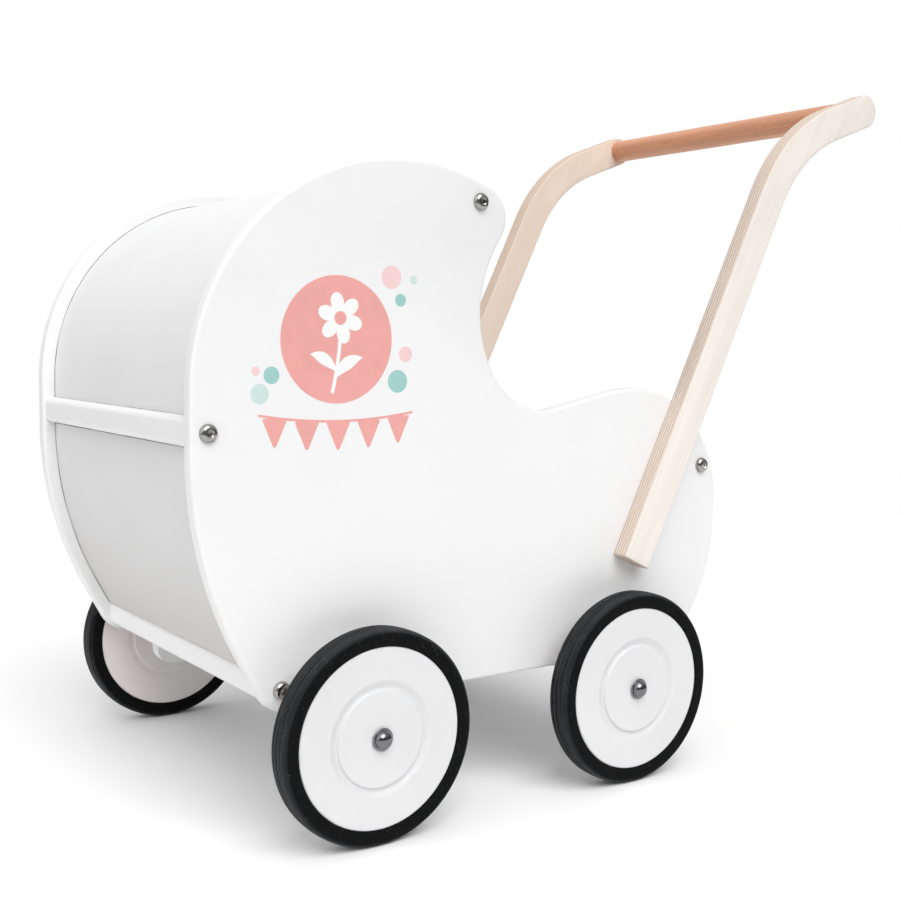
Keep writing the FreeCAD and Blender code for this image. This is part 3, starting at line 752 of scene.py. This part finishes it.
class PRAM_OT_wheels(bpy.types.Operator):
    """Tyres and pressed discs of the four wheels"""
    bl_idname = "pram.wheels"
    bl_label = "Wheels"

    def execute(self, context):
        wheels = context.scene.pram_wheels
        for corner in WHEELS:
            body = "wheel_" + corner
            self.tyre(body, corner, wheels)
            self.disc(body, corner, "outer", wheels)
            self.disc(body, corner, "inner", wheels)
        return {"FINISHED"}

    def tyre(self, body, corner, wheels):
        """Ring whose section is a bulging side wall, a rounded shoulder, and a tread crowned by
        c y^2 with smooth dips of depth d at each groove."""
        low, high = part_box(body + "_tyre")
        centre = (low + high) / 2
        outer = (high.z - low.z) / 2
        half = (high.y - low.y) / 2
        rim, seat_half, seat_depth = 63.05 * MM, 3.5 * MM, 4 * MM
        crown, draw_in, groove_half = 0.3 * MM, 0.25 * MM, 0.45 * MM
        ring_radius, ring_height, ring_half = 68.2 * MM, 0.22 * MM, 0.35 * MM
        lip_drop, lip_start = 0.9 * MM, 0.72
        shoulder = wheels.shoulder
        flat = half - shoulder
        y = np.linspace(-flat, flat, 91)
        dips = sum(np.exp(-((y - step * wheels.groove_pitch) / groove_half) ** 4) for step in (-1, 0, 1))
        tread = np.stack([outer - crown * (y / flat) ** 2 - wheels.groove_depth * dips, y], -1)
        turn = np.linspace(0, math.pi / 2, 9)[1:]
        edge = outer - crown
        round_out = np.stack([edge - shoulder * (1 - np.cos(turn)),
                              flat + (shoulder - draw_in) * np.sin(turn)], -1)
        r = np.linspace(edge - shoulder, rim, 25)[1:]
        t = (edge - shoulder - r) / (edge - shoulder - rim)
        ring = ring_height * np.exp(-((r - ring_radius) / ring_half) ** 2)
        lip = lip_drop * np.clip((t - lip_start) / (1 - lip_start), 0, 1) ** 2
        wall = np.stack([r, half - draw_in + ring - lip], -1)
        seat = np.array([[rim, seat_half], [rim - seat_depth, seat_half]])
        right = np.concatenate([round_out, wall, seat])
        left = right[::-1] * np.array([1, -1])
        section = np.concatenate([tread, right, left])
        finish = tyre_rubber("tyre_rubber_" + corner, wheels.rubber, (centre.x, centre.z), outer)
        made = piece("tyre_" + corner, [turned(section, centre, wheels.segments, tube=True)],
                     finish, body, 50.0)
        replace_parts(made, body + "_tyre")

    def disc(self, body, corner, face, wheels):
        """Pressed sheet: level out to the ring, down by its depth times a short smooth step in and a
        long one out, where a step is t^2 (3 - 2t), level to the rim, then over a rounded edge. The
        back follows at the sheet's thickness."""
        node = body + "_" + face + "_disc"
        low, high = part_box(node)
        tyre_low, tyre_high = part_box(body + "_tyre")
        centre = (tyre_low + tyre_high) / 2
        out = 1.0 if (low.y + high.y) / 2 > centre.y else -1.0
        level = (high.y if out > 0 else low.y) - centre.y
        rim = (high.z - low.z) / 2
        hole, skirt_foot = 7.05 * MM, 4 * MM
        sheet, bend, step_in, step_out = 1.5 * MM, 1.5 * MM, 1.3 * MM, 5.6 * MM
        r = np.concatenate([np.linspace(hole, wheels.ring_inner - 1 * MM, 5),
                            np.linspace(wheels.ring_inner, wheels.ring_outer, 41),
                            np.linspace(wheels.ring_outer + 1 * MM, rim - bend - 0.1 * MM, 6)])
        down = np.clip((r - wheels.ring_inner) / step_in, 0, 1)
        up = np.clip((wheels.ring_outer - r) / step_out, 0, 1)
        deep = wheels.ring_depth if face == "outer" else wheels.inner_ring_depth
        dip = deep * (down ** 2 * (3 - 2 * down)) * (up ** 2 * (3 - 2 * up))
        front = np.stack([r, abs(level) - dip], -1)
        turn = np.linspace(0, math.pi / 2, 9)
        fold = np.stack([rim - bend + bend * np.sin(turn),
                         abs(level) - bend * (1 - np.cos(turn))], -1)
        skirt = np.array([[rim, skirt_foot], [rim - sheet, skirt_foot],
                          [rim - sheet, abs(level) - bend - 0.1 * MM]])
        back = (front - np.array([0, sheet]))[::-1]
        profile = np.concatenate([front, fold, skirt, back]) * np.array([1, out])
        # Discs facing the body take the lightened paint: painted light.
        tone = wheels.disc_paint if (out > 0) == ("left" in corner) else wheels.lightened_inner_paint
        name = corner + "_" + face
        finish = coated_disc("painted_steel_" + name, tone, (centre.x, centre.z))
        disc = turned(profile, centre, wheels.segments, tube=True)
        made = piece("disc_" + name, [disc], finish, body)
        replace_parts(made, node)


class PRAM_OT_fittings(bpy.types.Operator):
    """Domed axle caps, button-head bolts and the screw heads inside the panels"""
    bl_idname = "pram.fittings"
    bl_label = "Caps, bolts and screws"

    def execute(self, context):
        chrome = steel("chromed_steel", (0.20, 0.20, 0.207), 0.05)
        nickel = steel("nickelled_steel", (0.38, 0.375, 0.36), 0.14)
        zinc = steel("zinc_steel", (0.60, 0.60, 0.58), 0.30, None, 0.5)
        cap_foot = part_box("axle_caps")[1].y - 6.2 * MM
        caps = [turned(self.cap(out), (axle.x, out * cap_foot, axle.z), 64)
                for axle in (axle_front, axle_rear) for out in SIDES.values()]
        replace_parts(piece("hub_caps", caps, chrome, "chassis"), "axle_caps")
        turns = np.random.default_rng(11).uniform(0, math.pi / 3, 32)
        heads = []
        for number, name in enumerate(RAILS):
            spot = middle(name)
            heads += [self.head((spot.x, out * outer_y, spot.z), out, turns[2 * number + (out > 0)],
                                radius=6.3 * MM, height=3.8 * MM, flat=2.0 * MM, depth=2.2 * MM)
                      for out in SIDES.values()]
        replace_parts(piece("bolt_heads", heads, nickel, "chassis", 30.0), "frame_bolts")
        handle = context.scene.pram_handle
        foot, run = arm_foot(handle)
        screws = []
        for number, along in enumerate((24 * MM, 86 * MM)):
            x, z = foot + run * along
            screws += [self.head((x, out * inner_y, z), -out, turns[20 + 2 * number + (out > 0)],
                                 radius=4.0 * MM, height=0.5 * MM, flat=1.25 * MM, depth=0.9 * MM)
                       for out in SIDES.values()]
        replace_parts(piece("arm_screw_heads", screws, zinc, "chassis", 30.0), "arm_screws")
        return {"FINISHED"}

    def cap(self, out):
        """Half ellipse (6.6 cos a, 5 sin a) on a thin flange with a rounded edge."""
        radius, height, edge_round, thick, tip = 6.6, 5.0, 0.6, 1.2, 0.03
        turn = np.linspace(0, math.pi / 2, 15)
        dome = np.stack([radius * np.cos(turn), thick + height * np.sin(turn)], -1)
        dome[-1, 0] = tip
        edge = np.linspace(-math.pi / 2, math.pi / 2, 9)
        flange = np.stack([radius + 0.8 + edge_round * np.cos(edge),
                           edge_round + edge_round * np.sin(edge)], -1)
        neck = np.array([[radius + 0.15, thick]])
        foot = np.array([[tip, 0.0]])
        return np.concatenate([foot, flange, neck, dome]) * MM * np.array([1, out])

    def head(self, spot, out, turn, radius, height, flat, depth, segments=60):
        """Button head: a hexagonal hole of inradius flat / 2, which in polar form is
        flat / cos(a mod 60 - 30), then a level ring, then a quarter ellipse down to the rim."""
        angle = np.linspace(0, 2 * math.pi, segments, endpoint=False)
        hexagon = flat / np.cos((angle % (math.pi / 3)) - math.pi / 6)
        level = flat * 1.35
        fall = np.linspace(0, math.pi / 2, 10)
        foot = 0.12 * height
        rings = [(0.02 * hexagon, height - depth - 0.15 * MM), (hexagon * 0.97, height - depth),
                 (hexagon, height - 0.12 * height), (np.full(segments, level), height)]
        rings += [(np.full(segments, level + (radius - level) * math.sin(a)),
                   foot + (height - foot) * math.cos(a)) for a in fall[1:]]
        rings += [(np.full(segments, radius), -0.2 * MM), (np.full(segments, 0.05 * MM), -3.0 * MM)]
        reach = np.stack([ring for ring, _ in rings])
        rise = np.array([level for _, level in rings])[:, None]
        grid = np.stack([reach * np.cos(angle + turn), np.broadcast_to(out * rise, reach.shape),
                         reach * np.sin(angle + turn)], -1)
        return lattice(grid + np.array(spot))


def arm_foot(handle):
    """Foot of the arms and the direction they rise in, both in the XZ plane."""
    return (np.array([mid_x - handle.foot_x, handle.foot_z]),
            np.array([-math.sin(handle.lean), math.cos(handle.lean)]))


class PRAM_OT_handle(bpy.types.Operator):
    """Bent plywood arms and the round grip"""
    bl_idname = "pram.handle"
    bl_label = "Handle"

    def execute(self, context):
        handle = context.scene.pram_handle
        y_low, y_high = arm_low.y, arm_high.y
        loop = self.arm_loop(handle)
        # The right arm's tone is darker than the left arm's: painted shade on a copy of the same birch.
        tones = {"left": handle.birch, "right": handle.warm_birch}
        for side, out in SIDES.items():
            birch = birch_plywood("birch_plywood_" + side, tones[side], handle.lean, handle.plies,
                                  y_low, y_high)
            arm = slab(loop, out * y_low, out * y_high, handle.edge_round)
            made = piece("arm_" + side, [arm], birch, "chassis")
            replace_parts(made, "handle_arm_" + side)
        low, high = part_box("handle_dowel")
        centre = (low + high) / 2
        radius = (high.z - low.z) / 2
        y = np.linspace(-1, 1, 33) * (high.y - low.y) / 2
        unevenness, waves, tip = 0.08 * MM, 60, 0.05 * MM
        swell = radius - unevenness * (1 + np.sin(y * waves)) / 2
        profile = np.concatenate([[[tip, y[0]]], np.stack([swell, y], -1), [[tip, y[-1]]]])
        made = piece("grip", [turned(profile, centre, 56)], beech(handle.beech), "chassis")
        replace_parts(made, "handle_dowel")
        return {"FINISHED"}

    def arm_loop(self, handle):
        """Outline of an arm: both sides of its middle line at half the width. Where the line turns,
        each side's corner is at the sum of the two side directions over 1 plus their product."""
        half = handle.arm_width / 2
        foot, run = arm_foot(handle)
        top = np.array([-math.cos(handle.rise), math.sin(handle.rise)])
        side_run = np.array([run[1], -run[0]])
        side_top = np.array([top[1], -top[0]])
        corner = foot + run * handle.straight
        grip = corner + top * handle.top
        lean_out = half * (side_run + side_top) / (1 + side_run @ side_top)
        end = grip + top * half
        return finer(rounded_loop([
            (*(foot - side_run * half), 2 * MM), (*(foot + side_run * half), 2 * MM),
            (*(corner + lean_out), handle.bend + half), (*(end + side_top * half), half - 0.01 * MM),
            (*(end - side_top * half), half - 0.01 * MM), (*(corner - lean_out), handle.bend - half)],
            24), 6 * MM)


def place(x, z):
    """A point of the left panel, in millimetres from the middle of the wheelbase and the floor."""
    return np.array([mid_x + x * MM, z * MM])


class PRAM_OT_prints(bpy.types.Operator):
    """Printed film on the left panel: a disc with a flower, loose dots and a row of pennants"""
    bl_idname = "pram.prints"
    bl_label = "Prints"

    def execute(self, context):
        prints = context.scene.pram_prints
        coral = print_film("film_coral", prints.coral)
        white = print_film("film_white", (0.90, 0.90, 0.895))
        disc = circle_loop(mid_x + 133 * MM, 343 * MM, prints.disc_radius, 128)
        self.film("print_disc", [disc], coral, 1)
        self.film("print_flower", self.flower(), white, 2)
        self.film("print_flower_heart", [circle_loop(mid_x + 131 * MM, 357.5 * MM, 4.6 * MM)], coral, 3)
        dots = {
            "pink": [(90.6, 386.2, 7.9), (78.4, 333.4, 5.4), (193.9, 321.9, 2.9)],
            "teal": [(83.0, 370.7, 4.4), (84.8, 314.6, 7.9), (182.4, 319.2, 5.7)],
            "pale_teal": [(72.4, 384.9, 2.9), (191.0, 307.0, 6.6)],
        }
        for tone, spots in dots.items():
            loops = [circle_loop(mid_x + x * MM, z * MM, r * MM) for x, z, r in spots]
            self.film("print_dots_" + tone, loops, print_film("film_" + tone, getattr(prints, tone)), 1)
        self.film("print_pennants", self.pennants(), coral, 1)
        return {"FINISHED"}

    def film(self, name, loops, finish, layer):
        """Thin raised shapes on the left panel's outer face, one layer over another."""
        rise = bpy.context.scene.pram_prints.thickness
        shapes = [slab(loop, outer_y - 0.1 * MM, outer_y + rise * (layer + 0.12 * step))
                  for step, loop in enumerate(loops)]
        piece(name, shapes, finish, "chassis")

    def flower(self):
        """Six-petalled head r = 17.5 (0.52 + 0.48 |cos 3a|^0.8), a bowed stem of even width and two
        leaves whose half width follows sin pi t."""
        angle = np.linspace(0, 2 * math.pi, 240, endpoint=False)
        radius = 17.5 * MM * (0.52 + 0.48 * np.abs(np.cos(3 * angle)) ** 0.8)
        ray = rays(angle + 0.3)
        head = (np.array([mid_x + 131 * MM, 357.5 * MM]) + radius[:, None] * ray, ray)
        stem = bow(place(131, 344), place(132.5, 325), place(137, 307))
        t = np.linspace(0, 1, 24)
        leaf = np.sin(math.pi * t) * MM
        left = bow(place(134.2, 317), place(127, 330), place(113, 331))
        right = bow(place(133.4, 321), place(143, 333), place(154, 333))
        return [head, ribbon(stem, np.full(24, 1.3 * MM)),
                ribbon(left, 4.4 * leaf), ribbon(right, 4.0 * leaf)]

    def pennants(self):
        """Five rounded triangles under a cord that sags as a parabola."""
        left, right, top, sag = mid_x + 72 * MM, mid_x + 192 * MM, 293 * MM, 5 * MM
        x = np.linspace(left, right, 60)
        t = (x - left) / (right - left)
        cord = np.stack([x, top - 4 * sag * t * (1 - t)], -1)
        loops = [ribbon(cord, np.full(60, 0.8 * MM))]
        for number in range(5):
            middle_x = left + (right - left) * (number + 0.5) / 5
            share = (middle_x - left) / (right - left)
            z = top - 4 * sag * share * (1 - share) - 0.4 * MM
            half = 9.4 * MM
            loops.append(rounded_loop([(middle_x - half, z, 1.0 * MM), (middle_x, z - 21 * MM, 1.4 * MM),
                                       (middle_x + half, z, 1.0 * MM)], 8))
        return loops


class PRAM_OT_frame_finishes(bpy.types.Operator):
    """Finishes for the frame parts that are shown as they are"""
    bl_idname = "pram.frame_finishes"
    bl_label = "Finishes of frame parts"

    def execute(self, context):
        boards = context.scene.pram_boards
        wheels = context.scene.pram_wheels
        # Painted light: frame parts shown as they are, such as the axle brackets under the floor, get a
        # lighter copy of the panel paint in place of the light they lack.
        lightened_board = painted("painted_inner_board", shade(boards.paint, 1.06), 0.42)
        by_slot = {
            "painted_board": lightened_board,
            "painted_sheet": lightened_board,
            "painted_batten": lightened_board,
            "birch_plywood": bpy.data.materials["birch_plywood_left"],
            "beech": bpy.data.materials["beech"],
            "chromed_steel": bpy.data.materials["chromed_steel"],
            "nickelled_steel": bpy.data.materials["nickelled_steel"],
            "zinc_steel": bpy.data.materials["zinc_steel"],
            "painted_steel": painted("painted_steel", wheels.disc_paint, 0.36),
            "hub_plastic": hub_plastic(),
            "tyre_rubber": tyre_rubber("tyre_rubber", wheels.rubber, (axle_front.x, axle_front.z),
                                       axle_z),
        }
        slot_of = {part["node"]: part["material_slot"] for part in frame["record"]["subparts"]}
        for name, part in frame["nodes"].items():
            finish = by_slot[slot_of[name]]
            part.data.materials.clear()
            part.data.materials.append(finish)
        return {"FINISHED"}


class PRAM_OT_studio(bpy.types.Operator):
    """Pale floor, soft lights and the camera"""
    bl_idname = "pram.studio"
    bl_label = "Studio"

    def execute(self, context):
        studio = context.scene.pram_studio
        scene = context.scene
        mesh = bpy.data.meshes.new("floor")
        radius, sides = 1.7, 128
        angle = np.linspace(0, 2 * math.pi, sides, endpoint=False)
        round_floor = radius * np.stack([np.cos(angle), np.sin(angle), 0 * angle], -1)
        mesh.from_pydata(round_floor.tolist(), [], [list(range(sides))])
        f = Finish("floor", Roughness=0.9, Specular_IOR_Level=0.1)
        tone = tuple(studio.floor)
        mesh.materials.append(f.end(Base_Color=f.blend(f.noise(3.0), tone, shade(tone, 0.985))))
        floor = bpy.data.objects.new("floor", mesh)
        scene.collection.objects.link(floor)
        self.light("key", studio.key, studio.key_height, studio.key_compass, studio.key_spread)
        self.light("fill", studio.fill, studio.fill_height, studio.fill_compass, studio.side_spread)
        self.light("back", studio.back, studio.back_height, studio.back_compass, studio.side_spread)
        scene.world = self.room(studio)
        scene.view_settings.view_transform = "Standard"
        lens = bpy.data.cameras.new("camera")
        lens.lens = studio.lens
        lens.sensor_width = 36.0
        camera = bpy.data.objects.new("camera", lens)
        right = Vector((-0.8182284, 0.57471589, 0.01428072))
        up = Vector((-0.03801773, -0.07887906, 0.996159))
        back = Vector((0.57363485, 0.81454266, 0.08639048))
        turn = Matrix((right, up, back)).transposed().to_4x4()
        camera.matrix_world = Matrix.Translation((0.65117, 0.90024, 0.34411)) @ turn
        scene.collection.objects.link(camera)
        scene.camera = camera
        return {"FINISHED"}

    def light(self, name, energy, elevation, azimuth, spread):
        """A distant soft light from a height and a compass angle, filling the given angle."""
        lamp = bpy.data.lights.new(name, "SUN")
        lamp.energy = energy
        lamp.angle = spread
        made = bpy.data.objects.new(name, lamp)
        source = Vector((math.cos(elevation) * math.cos(azimuth),
                         math.cos(elevation) * math.sin(azimuth), math.sin(elevation)))
        made.rotation_euler = (-source).to_track_quat("-Z", "Y").to_euler()
        bpy.context.scene.collection.objects.link(made)

    def room(self, studio):
        """Plain room: bright above and dim towards the walls, with a plain white backdrop."""
        world = bpy.data.worlds.new("room")
        world.use_nodes = True
        nodes, links = world.node_tree.nodes, world.node_tree.links
        place = nodes.new("ShaderNodeTexCoord")
        split = nodes.new("ShaderNodeSeparateXYZ")
        height = nodes.new("ShaderNodeMapRange")
        height.interpolation_type = "SMOOTHSTEP"
        for key, value in (("From Min", 0.10), ("From Max", 0.60), ("To Min", studio.walls),
                           ("To Max", studio.sky)):
            height.inputs[key].default_value = value
        links.new(place.outputs["Generated"], split.inputs[0])
        links.new(split.outputs["Z"], height.inputs["Value"])
        room = nodes["Background"]
        room.inputs["Color"].default_value = (1.0, 1.0, 1.0, 1.0)
        links.new(height.outputs[0], room.inputs["Strength"])
        backdrop = nodes.new("ShaderNodeBackground")
        backdrop.inputs["Color"].default_value = (1.0, 1.0, 1.0, 1.0)
        seen = nodes.new("ShaderNodeLightPath")
        mix = nodes.new("ShaderNodeMixShader")
        links.new(seen.outputs["Is Camera Ray"], mix.inputs[0])
        links.new(room.outputs[0], mix.inputs[1])
        links.new(backdrop.outputs[0], mix.inputs[2])
        links.new(mix.outputs[0], nodes["World Output"].inputs["Surface"])
        return world


class PRAM_PT_sidebar(bpy.types.Panel):
    """Lists the pram's settings and pieces"""
    bl_idname = "PRAM_PT_sidebar"
    bl_label = "Doll Pram"
    bl_space_type = "VIEW_3D"
    bl_region_type = "UI"
    bl_category = "Doll Pram"

    def draw(self, context):
        for group in GROUPS:
            box = self.layout.box()
            box.label(text=group[5:].title())
            settings = getattr(context.scene, group)
            for key in settings.__annotations__:
                box.prop(settings, key)
        for operator in OPERATORS:
            self.layout.operator(operator.bl_idname)


GROUPS = {
    "pram_boards": BoardSettings,
    "pram_wheels": WheelSettings,
    "pram_handle": HandleSettings,
    "pram_prints": PrintSettings,
    "pram_studio": StudioSettings,
}
OPERATORS = (PRAM_OT_side_panels, PRAM_OT_skins, PRAM_OT_rails, PRAM_OT_wheels, PRAM_OT_fittings,
             PRAM_OT_handle, PRAM_OT_prints, PRAM_OT_frame_finishes, PRAM_OT_studio)


def register():
    for group, settings in GROUPS.items():
        bpy.utils.register_class(settings)
        setattr(bpy.types.Scene, group, PointerProperty(type=settings))
    for operator in OPERATORS:
        bpy.utils.register_class(operator)
    bpy.utils.register_class(PRAM_PT_sidebar)


def unregister():
    bpy.utils.unregister_class(PRAM_PT_sidebar)
    for operator in reversed(OPERATORS):
        bpy.utils.unregister_class(operator)
    for group, settings in GROUPS.items():
        delattr(bpy.types.Scene, group)
        bpy.utils.unregister_class(settings)


def main():
    register()
    bpy.ops.pram.side_panels()
    bpy.ops.pram.skins()
    bpy.ops.pram.rails()
    bpy.ops.pram.wheels()
    bpy.ops.pram.fittings()
    bpy.ops.pram.handle()
    bpy.ops.pram.prints()
    bpy.ops.pram.frame_finishes()
    bpy.ops.pram.studio()


if __name__ == "__main__":
    main()
